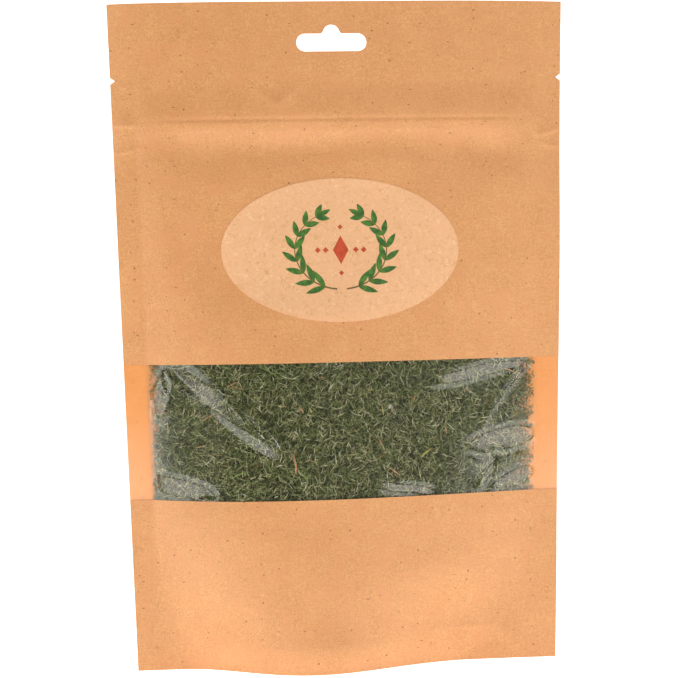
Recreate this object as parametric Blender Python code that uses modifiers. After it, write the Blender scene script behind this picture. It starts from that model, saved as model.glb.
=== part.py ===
# Kraft stand-up pouch of dried dill, with a clear window band across its front.
# Metres, +Z up. The front faces -Y, and the origin lies on the floor under the pouch's middle.

import math
import random

import bmesh
import bpy
from mathutils import Matrix, Vector

MM = 0.001

# The pouch as it stands, filled
HEIGHT = 290 * MM
HEADER_HALF_WIDTH = 100 * MM
FOOT_HALF_WIDTH = 92.2 * MM  # the opened foot draws the side seals in
SIDE_SEAL = 10 * MM

# Half the depth of the pouch at its crest, at each height
BELLY = [
    (0, 26 * MM),
    (14 * MM, 26 * MM),
    (40 * MM, 24.4 * MM),
    (74 * MM, 20.4 * MM),
    (134 * MM, 14 * MM),
    (174 * MM, 7.6 * MM),
    (206 * MM, 3.2 * MM),
    (226 * MM, 1.8 * MM),
    (239 * MM, 1.7 * MM),
    (256 * MM, 0),
    (HEIGHT, 0),
]
# The power of the section's curve at each height: 2 is a lens, and a high one is flat with steep ends
SECTION_POWER = [(0, 2), (180 * MM, 2), (222 * MM, 20), (HEIGHT, 20)]
# How much the section is pinched towards its corners at each height: 1 is not at all
CORNER_PINCH = [(0, 3.3), (14 * MM, 2.7), (40 * MM, 1.45), (70 * MM, 1), (HEIGHT, 1)]
# How far the crest lies to the left of the middle, as a share of the half width
CREST_LEFT = [(0, 0.2), (60 * MM, 0.26), (134 * MM, 0.2), (200 * MM, 0), (HEIGHT, 0)]

# The header's side edges curl back a little, outside a flat middle round the hang slot
HEADER_CURL = 5 * MM
HEADER_FLAT_HALF_WIDTH = 30 * MM
CURL_FROM = 170 * MM
CURL_FULL = 250 * MM

# Sheets
PAPER = 0.35 * MM
FILM = 0.25 * MM
HALF_SEAL_GAP = 0.15 * MM
PLY_GAP = 0.2 * MM
WINDOW_BOTTOM = 74.6 * MM
WINDOW_TOP = 133.3 * MM
FILM_LAP = 8 * MM
LAP_EASE = 10 * MM  # the paper eases out over the film's edge in this height

# Hang slot, tear notches and sticker
SLOT_X = -2.85 * MM
SLOT_Z = 272.1 * MM
SLOT_WIDTH = 30.7 * MM
SLOT_HEIGHT = 7.8 * MM
SLOT_BUMP_TOP = 279.8 * MM
SLOT_BUMP_RADIUS = 3.6 * MM
NOTCH_Z = 256.7 * MM
NOTCH_DEPTH = 2.1 * MM
NOTCH_HALF_HEIGHT = 1.4 * MM
CUTTER_HALF_DEPTH = 12 * MM
LABEL_CENTRE = (-0.9 * MM, 181.8 * MM)
LABEL_HALF_WIDTH = 51.8 * MM
LABEL_HALF_HEIGHT = 31.2 * MM
LABEL_GAP = 0.3 * MM
LABEL_THICKNESS = 0.25 * MM

# Press-to-close zip, as an outline of depth and height in millimetres
ZIP_Z = 232 * MM
ZIP_HALF_LENGTH = 79 * MM
ZIP_CUTS = 13
ZIP_FLANGE_OUTER = 1.6
ZIP_FLANGE_INNER = 1.3
ZIP_FLANGE_HALF_HEIGHT = 5

# Bottom gusset: its floor, and the fold that rises to the side seals
GUSSET_FLOOR = 9 * MM
GUSSET_FOLD_HEIGHT = 42 * MM
GUSSET_FOLD_POWER = 2.6
GUSSET_FLOOR_BOW = 2 * MM
GUSSET_BEND = 3 * MM
GUSSET_REACH = 0.8  # past this share the foot is sealed flat
GUSSET_LEG_FOOT = 0.6 * MM
GUSSET_CLEAR = 0.35 * MM
GUSSET_LEG_ROWS = 6

# Dried dill
FILL_REACH = 0.93
FILL_TOP = 152 * MM
FILL_TOP_FALL = 8 * MM
FILL_LIFT = 1.2 * MM  # clear of the gusset
FILL_INSET = 1.2 * MM  # the core's depth under the pouch's inner face
FILL_INSET_SHARE = 0.5  # of the pouch's own depth, at its thin edges
FILL_CUTS = 8
NEEDLE_SIDES = 3
NEEDLE_RADIUS = 0.55 * MM
NEEDLE_LENGTHS = (5.5 * MM, 8 * MM)
NEEDLE_SUNK = 0.8 * MM
NEEDLE_PROUD = 0.4 * MM
NEEDLES_IN_WINDOW = 360
NEEDLES_ROUND_REST = 100
NEEDLES_ON_TOP = 40
RANDOM_SEED = 7

# Columns of every sheet, as a share of the way from the middle to a side seal
COLUMNS = [0, 0.11, 0.22, 0.33, 0.44, 0.55, 0.66, 0.77, 0.88, 0.95, 1]
FIN = 1.1  # any share over 1 is the sheet's cut side edge


def smooth_through(keys, at):
    """A smooth curve through the keys that doesn't overshoot them, flat at both ends."""
    if at <= keys[0][0]:
        return keys[0][1]
    for i in range(len(keys) - 1):
        (z0, v0), (z1, v1) = keys[i], keys[i + 1]
        if at <= z1:
            break
    else:
        return keys[-1][1]

    def slope(k):
        if k == 0 or k == len(keys) - 1:
            return 0
        before = (keys[k][1] - keys[k - 1][1]) / (keys[k][0] - keys[k - 1][0])
        after = (keys[k + 1][1] - keys[k][1]) / (keys[k + 1][0] - keys[k][0])
        return 0 if before * after <= 0 else 2 * before * after / (before + after)

    span = z1 - z0
    t = (at - z0) / span
    return (
        (2 * t**3 - 3 * t**2 + 1) * v0
        + (t**3 - 2 * t**2 + t) * span * slope(i)
        + (3 * t**2 - 2 * t**3) * v1
        + (t**3 - t**2) * span * slope(i + 1)
    )


def ease(at, start, end):
    t = min(1, max(0, (at - start) / (end - start)))
    return t * t * (3 - 2 * t)


def half_width(z):
    return FOOT_HALF_WIDTH + (HEADER_HALF_WIDTH - FOOT_HALF_WIDTH) * z / HEIGHT


def width_at(share, z):
    """X of a column: inside the side seals for a share up to 1, and the cut edge past it."""
    if abs(share) > 1:
        return math.copysign(half_width(z), share)
    return share * (half_width(z) - SIDE_SEAL)


def depth_at(share, z):
    """How far either wall stands from the middle of the pouch, before the sheets' own gaps."""
    within = min(1, max(-1, share))
    within += smooth_through(CREST_LEFT, z) * (1 - within**2)
    section = 1 - abs(within) ** smooth_through(SECTION_POWER, z)
    return smooth_through(BELLY, z) * max(0, section) ** smooth_through(CORNER_PINCH, z)


def share_from_crest(from_crest, z):
    """The share across the pouch at a share of the way from its crest to either side seal."""
    left = smooth_through(CREST_LEFT, z)
    if left < 0.001:
        return from_crest
    return (1 - math.sqrt(1 - 4 * left * (from_crest - left))) / (2 * left)


def curl_at(x, z):
    outside = max(0, abs(x) - HEADER_FLAT_HALF_WIDTH) / (HEADER_HALF_WIDTH - HEADER_FLAT_HALF_WIDTH)
    return HEADER_CURL * ease(z, CURL_FROM, CURL_FULL) * outside**2


def paper_gap(z):
    """The front paper's inner face, from the middle of the seal. It steps out over the film's laps."""
    over_film = ease(z, WINDOW_BOTTOM - FILM_LAP - LAP_EASE, WINDOW_BOTTOM - FILM_LAP)
    past_film = ease(z, WINDOW_TOP + FILM_LAP, WINDOW_TOP + FILM_LAP + LAP_EASE)
    return HALF_SEAL_GAP + (FILM + PLY_GAP) * (over_film - past_film)


def front_point(share, z, gap):
    x = width_at(share, z)
    return Vector((x, curl_at(x, z) - depth_at(share, z) - gap, z))


def back_point(share, z, gap):
    x = -width_at(share, z)
    return Vector((x, curl_at(x, z) + depth_at(-share, z) + gap, z))


def steps(start, end, count):
    return [start + (end - start) * i / count for i in range(count + 1)]


def all_columns(reach=FIN):
    """Columns from the left to the right, out to a share of the width."""
    right = [s for s in COLUMNS if 0 < s < reach] + [reach]
    return [-s for s in reversed(right)] + [0] + right


def new_material(name, colour, roughness, alpha=1):
    material = bpy.data.materials.new(name)
    material.use_nodes = True
    shader = material.node_tree.nodes["Principled BSDF"]
    shader.inputs["Base Color"].default_value = (*colour, 1)
    shader.inputs["Roughness"].default_value = roughness
    shader.inputs["Metallic"].default_value = 0
    shader.inputs["Alpha"].default_value = alpha
    return material


def add_object(name, mesh, material, collection):
    obj = bpy.data.objects.new(name, mesh)
    collection.objects.link(obj)
    mesh.materials.append(material)
    mesh.shade_smooth()
    return obj


def grid_mesh(name, columns, rows, place):
    """A plane grid with its corners moved onto place(column, row)."""
    mesh = bpy.data.meshes.new(name)
    bm = bmesh.new()
    bmesh.ops.create_grid(bm, x_segments=len(columns) - 1, y_segments=len(rows) - 1, size=1)
    for vertex in bm.verts:
        column = columns[round((vertex.co.x + 1) / 2 * (len(columns) - 1))]
        row = rows[round((vertex.co.y + 1) / 2 * (len(rows) - 1))]
        vertex.co = place(column, row)
    bm.to_mesh(mesh)
    bm.free()
    return mesh


def thicken(obj, thickness, side=1):
    solidify = obj.modifiers.new("Thickness", "SOLIDIFY")
    solidify.thickness = thickness
    solidify.offset = side
    solidify.use_even_offset = True


def as_cutter(obj, cutters):
    cutters.objects.link(obj)
    obj.hide_render = True
    obj.display_type = "WIRE"
    return obj


def arc(centre, radius, start, end, count):
    """Points along an arc, by angles in degrees, the end one left out."""
    return [
        (
            centre[0] + radius * math.cos(math.radians(start + (end - start) * i / count)),
            centre[1] + radius * math.sin(math.radians(start + (end - start) * i / count)),
        )
        for i in range(count)
    ]


def outline_mesh(name, points, half_depth):
    """A closed outline as a filled 2D curve, extruded both ways and made a mesh."""
    curve = bpy.data.curves.new(name, "CURVE")
    curve.dimensions = "2D"
    curve.fill_mode = "BOTH"
    curve.extrude = half_depth
    spline = curve.splines.new("POLY")
    spline.points.add(len(points) - 1)
    for point, (x, y) in zip(spline.points, points):
        point.co = (x, y, 0, 1)
    spline.use_cyclic_u = True
    drawn = bpy.data.objects.new(name, curve)
    bpy.context.scene.collection.objects.link(drawn)
    bpy.context.view_layer.update()
    mesh = bpy.data.meshes.new_from_object(drawn.evaluated_get(bpy.context.evaluated_depsgraph_get()))
    bpy.data.objects.remove(drawn)
    bm = bmesh.new()
    bm.from_mesh(mesh)
    bmesh.ops.remove_doubles(bm, verts=bm.verts, dist=0.00001)
    bmesh.ops.recalc_face_normals(bm, faces=bm.faces)
    bm.to_mesh(mesh)
    bm.free()
    return mesh


def slot_cutter(cutters):
    """The hang slot: a long slot with round ends and a round bump for the hook in its upper side."""
    end = SLOT_HEIGHT / 2
    run = SLOT_WIDTH / 2 - end
    bump_z = SLOT_BUMP_TOP - SLOT_Z - SLOT_BUMP_RADIUS
    flare = SLOT_BUMP_RADIUS + 1 * MM  # the bump opens out where it meets the slot
    points = (
        arc((run, 0), end, -90, 90, 8)
        + [(run, end), (flare, end)]
        + arc((0, bump_z), SLOT_BUMP_RADIUS, 15, 165, 8)
        + [(-flare, end)]
        + arc((-run, 0), end, 90, 270, 8)
        + [(-run, -end)]
    )
    mesh = outline_mesh("hang_slot_cutter", points, CUTTER_HALF_DEPTH)
    mesh.transform(Matrix.Rotation(math.radians(90), 4, "X"))
    cutter = bpy.data.objects.new("hang_slot_cutter", mesh)
    cutter.location = (SLOT_X, 0, SLOT_Z)
    return as_cutter(cutter, cutters)


def notch_cutter(side, cutters):
    """A sharp-tipped diamond on the side edge, whose inner half is the tear notch."""
    mesh = bpy.data.meshes.new("tear_notch_cutter")
    bm = bmesh.new()
    bmesh.ops.create_cone(
        bm, cap_ends=True, segments=4, radius1=1, radius2=1, depth=2 * CUTTER_HALF_DEPTH
    )
    bm.to_mesh(mesh)
    bm.free()
    mesh.transform(Matrix.Diagonal((NOTCH_DEPTH, NOTCH_HALF_HEIGHT, 1, 1)))
    mesh.transform(Matrix.Rotation(math.radians(90), 4, "X"))
    cutter = bpy.data.objects.new("tear_notch_cutter", mesh)
    x = side * half_width(NOTCH_Z)
    cutter.location = (x, curl_at(x, NOTCH_Z), NOTCH_Z)
    return as_cutter(cutter, cutters)


def cut(obj, cutters):
    for cutter in cutters:
        difference = obj.modifiers.new(cutter.name, "BOOLEAN")
        difference.operation = "DIFFERENCE"
        difference.solver = "EXACT"
        difference.object = cutter


def panel(name, rows, place, gap, thickness, material, parts):
    mesh = grid_mesh(name, all_columns(), rows, lambda share, z: place(share, z, gap(z)))
    obj = add_object(name, mesh, material, parts)
    thicken(obj, thickness)
    return obj


def gusset_fold_z(from_crest):
    """The height at which the gusset leaves the wall: low in the middle, and up at the side seals."""
    rise = GUSSET_FOLD_HEIGHT - GUSSET_FLOOR
    return GUSSET_FLOOR + rise * abs(from_crest) ** GUSSET_FOLD_POWER


def gusset_path(from_crest):
    """The gusset's section at one column: up the front wall, across the floor, down the back wall."""
    fold = gusset_fold_z(from_crest)

    def reach(z):
        return depth_at(share_from_crest(from_crest, z), z) - GUSSET_CLEAR - PAPER / 2

    bend = min(GUSSET_BEND, 0.45 * reach(fold))
    legs = steps(GUSSET_LEG_FOOT, fold - bend, GUSSET_LEG_ROWS)
    side = [(reach(z), z) for z in legs]
    turn = math.sqrt(0.5) * bend
    side += [(reach(fold) - bend + turn, fold - bend + turn), (reach(fold) - bend, fold)]
    bow = GUSSET_FLOOR_BOW * (1 - from_crest**2)
    side += [(0.5 * (reach(fold) - bend), fold + 0.75 * bow)]
    front = [(-y, z) for y, z in side]
    return front + [(0, fold + bow)] + list(reversed(side))


def build_gusset(material, parts):
    columns = all_columns(GUSSET_REACH)
    rows = range(len(gusset_path(0)))

    def place(from_crest, row):
        y, z = gusset_path(from_crest)[row]
        return Vector((width_at(share_from_crest(from_crest, z), z), y, z))

    mesh = grid_mesh("bottom_gusset", columns, list(rows), place)
    thicken(add_object("bottom_gusset", mesh, material, parts), PAPER, 0)


def zip_strip(name, half_outline, facing, material, parts):
    """One strip of the zip: half its outline, as (depth, height) in millimetres, and its mirror image below."""
    lower = [(y, -z) for y, z in reversed(half_outline)]
    points = [(facing * y * MM, z * MM) for y, z in half_outline + lower]
    mesh = outline_mesh(name, points, ZIP_HALF_LENGTH)
    # Outline depth lies along Y, height along Z, and the extrusion along X.
    mesh.transform(Matrix(((0, 0, 1, 0), (1, 0, 0, 0), (0, 1, 0, ZIP_Z), (0, 0, 0, 1))))
    bm = bmesh.new()
    bm.from_mesh(mesh)
    lengthwise = [edge for edge in bm.edges if edge.calc_length() > ZIP_HALF_LENGTH]
    bmesh.ops.subdivide_edges(bm, edges=lengthwise, cuts=ZIP_CUTS)
    for vertex in bm.verts:
        vertex.co.y += curl_at(vertex.co.x, vertex.co.z)
    bm.to_mesh(mesh)
    bm.free()
    add_object(name, mesh, material, parts)


def build_zip(material, parts):
    flange = [(-ZIP_FLANGE_OUTER, ZIP_FLANGE_HALF_HEIGHT), (-ZIP_FLANGE_INNER, ZIP_FLANGE_HALF_HEIGHT)]
    jaw = [(-ZIP_FLANGE_INNER, 1.4), (0.3, 1.4), (0.3, 0.55), (0, 0.55), (0, 0.9), (-ZIP_FLANGE_INNER, 0.9)]
    hook = [(-ZIP_FLANGE_INNER, 0.3), (0.25, 0.3), (0.25, 0.7), (0.75, 0.7), (0.95, 0.35)]
    zip_strip("zip_strip_front", flange + jaw, 1, material, parts)
    zip_strip("zip_strip_back", flange + hook, -1, material, parts)


def share_of(x, z):
    return x / (half_width(z) - SIDE_SEAL)


def build_label(material, parts):
    """The sticker: a square grid drawn round to an oval, and laid on the upper front."""

    def place(u, v):
        x = LABEL_CENTRE[0] + LABEL_HALF_WIDTH * u * math.sqrt(1 - v * v / 2)
        z = LABEL_CENTRE[1] + LABEL_HALF_HEIGHT * v * math.sqrt(1 - u * u / 2)
        return front_point(share_of(x, z), z, paper_gap(z) + PAPER + LABEL_GAP)

    mesh = grid_mesh("label_oval", steps(-1, 1, 14), steps(-1, 1, 10), place)
    thicken(add_object("label_oval", mesh, material, parts), LABEL_THICKNESS)


def fill_point(from_crest, up, through):
    """A point of the heap's core: across, from bottom to top, and from front (-1) to back (1)."""
    bow = GUSSET_FLOOR_BOW * (1 - from_crest**2)
    low = gusset_fold_z(from_crest) + bow + PAPER + FILL_LIFT
    high = FILL_TOP - FILL_TOP_FALL * from_crest**2
    z = low + (high - low) * up
    share = share_from_crest(from_crest, z)
    depth = depth_at(share, z)
    inset = min(FILL_INSET, FILL_INSET_SHARE * depth)
    return Vector((width_at(share, z), through * (depth - inset), z))


def fill_core(material, parts):
    mesh = bpy.data.meshes.new("dill_fill")
    bm = bmesh.new()
    bmesh.ops.create_cube(bm, size=2)
    bmesh.ops.subdivide_edges(bm, edges=bm.edges, cuts=FILL_CUTS, use_grid_fill=True)
    for vertex in bm.verts:
        across, through, up = vertex.co
        vertex.co = fill_point(FILL_REACH * across, (up + 1) / 2, through)
    bm.to_mesh(mesh)
    bm.free()
    return add_object("dill_fill", mesh, material, parts)


def surface_frame(from_crest, up, through):
    """A point on the core's front, back or top, with two directions along it and one out of it."""
    here = fill_point(from_crest, up, through)
    small = 0.01
    along = (fill_point(from_crest + small, up, through) - here).normalized()
    if abs(through) == 1:
        other = (fill_point(from_crest, up + small, through) - here).normalized()
        out = along.cross(other) * -through
    else:
        other = (fill_point(from_crest, up, through + small) - here).normalized()
        out = along.cross(other)
    return here, along, other, out.normalized()


def add_needle(place, heading, length, needle_mesh, needles):
    """A dill needle: its root sunk in the core, and its tip a little proud of it."""
    here, along, other, out = place
    flat = math.cos(heading) * along + math.sin(heading) * other
    root = here - flat * length / 2 - out * NEEDLE_SUNK
    tip = here + flat * length / 2 + out * NEEDLE_PROUD
    needle = bpy.data.objects.new("needle", needle_mesh)
    direction = tip - root
    turn = direction.to_track_quat("Z", "X").to_matrix().to_4x4()
    stretch = Matrix.Diagonal((1, 1, direction.length, 1))
    needle.matrix_world = Matrix.Translation(root) @ turn @ stretch
    needles.objects.link(needle)


def needle_places(draw):
    """Where the needles lie: mostly behind the window, the rest over the other walls and the top."""
    for _ in range(NEEDLES_IN_WINDOW):
        from_crest = draw.uniform(-0.86, 0.86)
        z = draw.uniform(WINDOW_BOTTOM - 3 * MM, WINDOW_TOP + 5 * MM)
        low, high = fill_point(from_crest, 0, -1).z, fill_point(from_crest, 1, -1).z
        yield surface_frame(from_crest, (z - low) / (high - low), -1)
    for _ in range(NEEDLES_ROUND_REST):
        through = draw.choice((-1, 1))
        up = draw.uniform(0.06, 0.36) if through < 0 else draw.uniform(0.06, 0.94)
        yield surface_frame(draw.uniform(-0.72, 0.72), up, through)
    for _ in range(NEEDLES_ON_TOP):
        yield surface_frame(draw.uniform(-0.6, 0.6), 1, draw.uniform(-0.35, 0.35))


def build_fill(material, parts):
    """The dried dill: a core for the heap's mass, with needles standing out of it, joined as one body."""
    core = fill_core(material, parts)
    needle_mesh = bpy.data.meshes.new("needle")
    bm = bmesh.new()
    bmesh.ops.create_cone(
        bm, cap_ends=True, segments=NEEDLE_SIDES, radius1=NEEDLE_RADIUS, radius2=0.0002, depth=1
    )
    bmesh.ops.translate(bm, vec=(0, 0, 0.5), verts=bm.verts)
    bm.to_mesh(needle_mesh)
    bm.free()
    needles = bpy.data.collections.new("needles")
    bpy.context.scene.collection.children.link(needles)
    draw = random.Random(RANDOM_SEED)
    for place in needle_places(draw):
        add_needle(place, draw.uniform(0, 2 * math.pi), draw.uniform(*NEEDLE_LENGTHS), needle_mesh, needles)
    join = core.modifiers.new("Needles", "BOOLEAN")
    join.operation = "UNION"
    join.operand_type = "COLLECTION"
    join.collection = needles
    join.solver = "EXACT"
    bpy.context.view_layer.update()
    joined = bpy.data.meshes.new_from_object(core.evaluated_get(bpy.context.evaluated_depsgraph_get()))
    core.modifiers.clear()
    core.data = joined
    for needle in list(needles.objects):
        bpy.data.objects.remove(needle)
    bpy.data.collections.remove(needles)


def main():
    for obj in list(bpy.data.objects):
        bpy.data.objects.remove(obj)
    parts = bpy.data.collections.new("dill_pouch")
    cutters = bpy.data.collections.new("cutters")
    for collection in (parts, cutters):
        bpy.context.scene.collection.children.link(collection)

    kraft = new_material("kraft_paper", (0.79, 0.37, 0.15), 0.8)
    film = new_material("clear_film", (0.9, 0.92, 0.92), 0.08, 0.2)
    plastic = new_material("zip_plastic", (0.86, 0.87, 0.87), 0.3)
    sticker = new_material("sticker_paper", (0.86, 0.5, 0.26), 0.5)
    dill = new_material("dried_dill", (0.1, 0.11, 0.05), 0.9)

    header_cuts = [slot_cutter(cutters), notch_cutter(-1, cutters), notch_cutter(1, cutters)]

    above = steps(WINDOW_TOP, WINDOW_TOP + FILM_LAP, 1) + steps(151 * MM, 226 * MM, 12)
    header = [239 * MM, 248 * MM, 256 * MM, HEIGHT]
    below = steps(0, WINDOW_BOTTOM - FILM_LAP, 8) + [WINDOW_BOTTOM]
    behind_window = steps(WINDOW_BOTTOM, WINDOW_TOP, 5)

    upper = panel("front_upper_panel", above + header, front_point, paper_gap, PAPER, kraft, parts)
    cut(upper, header_cuts)
    panel("front_lower_panel", below, front_point, paper_gap, PAPER, kraft, parts)
    film_rows = [WINDOW_BOTTOM - FILM_LAP] + behind_window + [WINDOW_TOP + FILM_LAP]
    panel("window_film", film_rows, front_point, lambda z: HALF_SEAL_GAP, FILM, film, parts)
    back_rows = below[:-1] + behind_window + above[1:] + header
    back = panel("back_panel", back_rows, back_point, lambda z: HALF_SEAL_GAP, PAPER, kraft, parts)
    cut(back, header_cuts)

    build_gusset(kraft, parts)
    build_zip(plastic, parts)
    build_label(sticker, parts)
    build_fill(dill, parts)


main()
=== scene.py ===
import math

import bmesh
import bpy
import numpy as np
from mathutils import Matrix, Vector


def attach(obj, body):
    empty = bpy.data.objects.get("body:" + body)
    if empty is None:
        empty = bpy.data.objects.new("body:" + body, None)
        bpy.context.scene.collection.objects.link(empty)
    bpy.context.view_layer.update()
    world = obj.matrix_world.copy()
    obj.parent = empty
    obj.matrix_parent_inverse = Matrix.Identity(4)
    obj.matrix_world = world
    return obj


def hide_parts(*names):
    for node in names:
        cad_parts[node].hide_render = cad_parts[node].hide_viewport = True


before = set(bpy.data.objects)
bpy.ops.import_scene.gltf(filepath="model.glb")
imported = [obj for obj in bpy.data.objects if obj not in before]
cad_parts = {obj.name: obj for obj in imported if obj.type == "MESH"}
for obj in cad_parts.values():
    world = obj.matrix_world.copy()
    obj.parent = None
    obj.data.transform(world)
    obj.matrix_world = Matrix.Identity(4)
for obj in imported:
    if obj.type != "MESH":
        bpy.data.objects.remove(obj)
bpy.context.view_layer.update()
mm = 0.001

# Form of the standing, filled pouch, as the CAD has it
pouch = {
    "height": 290.0, "headerHalfWidth": 100.0, "footHalfWidth": 92.2, "sideSeal": 10.0,
    # half the depth at the crest, by height
    "belly": [(0, 26), (14, 26), (40, 24.4), (74, 20.4), (134, 14), (174, 7.6), (206, 3.2),
              (226, 1.8), (239, 1.7), (256, 0), (290, 0)],
    # section curve: 2 is a lens, high is flat with steep ends
    "sectionPower": [(0, 2), (120, 2), (150, 2.3), (174, 2.9), (190, 4), (206, 7), (222, 14),
                     (239, 20), (290, 20)],
    # pinch of the foot's corners: 1 is none
    "cornerPinch": [(0, 3.3), (14, 2.7), (40, 1.45), (70, 1), (290, 1)],
    # how far the crest lies left of the middle, as a share of the half width
    "crestLeft": [(0, 0.2), (60, 0.26), (134, 0.2), (200, 0), (290, 0)],
    "headerCurl": 5.0, "headerFlatHalfWidth": 30.0, "curlHeights": (170.0, 250.0),
    "windowBottom": 74.6, "windowTop": 133.3, "filmLap": 8.0,
}


def smoothThrough(keys, at):
    # a curve through the keys that doesn't overshoot them
    places, values = np.array(keys, float).T
    at = np.clip(at, places[0], places[-1])
    rise = np.diff(values) / np.diff(places)
    slope = np.zeros(len(values))
    before, after = rise[:-1], rise[1:]
    same = before * after > 0
    slope[1:-1][same] = 2 * before[same] * after[same] / (before[same] + after[same])
    i = np.clip(np.searchsorted(places, at) - 1, 0, len(places) - 2)
    span = places[i + 1] - places[i]
    t = (at - places[i]) / span
    return ((2 * t**3 - 3 * t**2 + 1) * values[i] + (t**3 - 2 * t**2 + t) * span * slope[i]
            + (3 * t**2 - 2 * t**3) * values[i + 1] + (t**3 - t**2) * span * slope[i + 1])


def ease(at, start, end):
    t = np.clip((at - start) / (end - start), 0, 1)
    return t * t * (3 - 2 * t)


def halfWidth(z):
    return pouch["footHalfWidth"] + (pouch["headerHalfWidth"] - pouch["footHalfWidth"]) * z / pouch["height"]


def sealEdge(z):
    return halfWidth(z) - pouch["sideSeal"]


def fromCrest(x, z):
    share = np.clip(x / sealEdge(z), -1, 1)
    return share + smoothThrough(pouch["crestLeft"], z) * (1 - share**2)


def wallDepth(x, z):
    section = 1 - np.abs(fromCrest(x, z)) ** smoothThrough(pouch["sectionPower"], z)
    return smoothThrough(pouch["belly"], z) * np.maximum(0, section) ** smoothThrough(pouch["cornerPinch"], z)


def softNoise(seed, x, z, size):
    # smooth random hills about this size across, from -1 to 1
    draw = np.random.default_rng(seed)
    lattice = draw.uniform(-1, 1, (64, 64))
    u, v = (x + 150) / size, (z + 20) / size
    i, j = np.floor(u).astype(int), np.floor(v).astype(int)
    fu, fv = ease(u - i, 0, 1), ease(v - j, 0, 1)
    i0, i1, j0, j1 = i % 64, (i + 1) % 64, j % 64, (j + 1) % 64
    low = lattice[i0, j0] * (1 - fu) + lattice[i1, j0] * fu
    high = lattice[i0, j1] * (1 - fu) + lattice[i1, j1] * fu
    return low * (1 - fv) + high * fv


def hill(x, z, centreX, centreZ, radiusX, radiusZ, height):
    return height * np.exp(-((x - centreX) / radiusX) ** 2 - ((z - centreZ) / radiusZ) ** 2)


def crease(x, z, points, width, height):
    # a pressed line through the points, steep below it, long above it and running out at both ends
    nearest = np.full(np.shape(x), 1e9)
    along, above = np.zeros(np.shape(x)), np.zeros(np.shape(x), bool)
    lengths = [math.dist(a, b) for a, b in zip(points, points[1:])]
    total, gone = sum(lengths), 0
    for (x0, z0), (x1, z1), length in zip(points, points[1:], lengths):
        t = np.clip(((x - x0) * (x1 - x0) + (z - z0) * (z1 - z0)) / length**2, 0, 1)
        distance = np.hypot(x - x0 - t * (x1 - x0), z - z0 - t * (z1 - z0))
        closer = distance < nearest
        nearest = np.where(closer, distance, nearest)
        along = np.where(closer, (gone + t * length) / total, along)
        above = np.where(closer, z > z0 + t * (z1 - z0), above)
        gone += length
    spread = width * np.where(above, 3.5, 1)
    return height * np.exp(-nearest / spread) * np.sin(np.pi * np.clip(along, 0, 1)) ** 0.5


# How the walls leave the plain form, outwards unless a note says otherwise
relief = {
    # both walls together, forwards: the stiff zip stands out of the bag
    "kink": [(0, 0), (218, 0), (226, -0.05), (229, 0.05), (235, 0.45), (238.5, 0.55), (245, 0.52),
             (290, 0.5)],
    # the front wall alone: the hollow under the zip, and its upper edge pressed through
    "frontProfile": [(0, -1.5), (6, -0.65), (13, 0), (206, 0), (219, -0.16), (226, -0.44), (228, -0.4),
                     (232, 0), (235, 0.52), (237.8, 0.76), (238.5, 0.56), (239.1, 0.56), (240.2, 0.78),
                     (243, 0.88), (250, 1.06), (256, 1.08), (270, 0.85), (284, 0.4), (290, 0.35)],
    "backProfile": [(0, -1.2), (6, -0.5), (13, 0), (212, 0), (226, -0.4), (238, 0.6), (252, 0), (290, 0)],
    # dents and swells of the front: x, z, radius x, radius z, height
    "hills": [
        (-28, 226, 24, 6, -0.5), (-56, 221, 13, 8, -0.6), (68, 224, 17, 8, -0.6), (12, 221, 22, 9, 0.9),
        (-80, 192, 9, 34, 0.5), (-62, 194, 9, 26, -0.8), (60, 184, 9, 20, -0.4), (76, 165, 14, 18, 1.2),
        (-20, 154, 32, 9, 0.8),
        (42, 42, 18, 11, 1.7), (66, 64, 7, 12, 0.6), (-8, 24, 18, 9, -0.8),
        (-10, 8, 26, 6, 0.6), (-58, 20, 12, 9, 0.5),
    ],
    # pressed lines of the front: points, width, height
    "creases": [
        ([(-98, 225.2), (-92, 225.8), (-86, 227.5)], 0.9, 0.55),
        ([(-98.5, 237), (-92, 237.4), (-85, 236.6)], 1.1, 0.55),
        ([(98.5, 234), (94, 232.5), (87, 230.5)], 0.9, 0.55),
        ([(98.5, 226), (94, 226.5), (88, 228)], 0.9, 0.5),
        ([(33, 14.4), (67, 15.5)], 0.9, 0.5), ([(67, 15.5), (74, 1)], 0.9, 0.45),
        ([(-42, 256), (-27.6, 244.5), (-16, 254)], 1.3, 0.5),
    ],
    "sealWave": 0.35,
    "zipRagged": 2.0,  # how far the zip's lower edge wanders up and down
    "sealLean": (1.5, 1.0),  # how far the left and right seals lean back
    "wallWave": 0.5,
    "backWave": 0.8,
    "sealRun": 14.0,  # how far from a side seal the bag's own waves have come up
    "zipRun": 26.0,  # likewise for what the zip does
}


def insideSeals(x, z):
    # 1 over the open bag, and 0 on the side seals and the header
    return (1 - ease(np.abs(x), sealEdge(z) - relief["sealRun"], sealEdge(z))) * (1 - ease(z, 236, 250))


def nearSeals(x, z):
    return 1 - ease(np.abs(x), sealEdge(z) - relief["zipRun"], sealEdge(z))


def sharedLean(x, z):
    # what both walls do together: the header's curl, the kink at the zip and the seals' slight wave
    outside = np.maximum(0, np.abs(x) - pouch["headerFlatHalfWidth"])
    outside = outside / (pouch["headerHalfWidth"] - pouch["headerFlatHalfWidth"])
    curl = pouch["headerCurl"] * ease(z, *pouch["curlHeights"]) * outside**2
    wave = relief["sealWave"] * softNoise(3, x, z, 42) * ease(z, 0, 30)
    uneven = 1 + 0.25 * softNoise(4, x, z * 0.2, 30)
    onSeal = np.clip((np.abs(x) - halfWidth(z) + 16) / 16, 0, 1) ** 2
    lean = onSeal * np.where(x < 0, *relief["sealLean"]) * ease(z, 20, 80)
    return curl + wave + lean - smoothThrough(relief["kink"], z) * uneven


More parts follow.
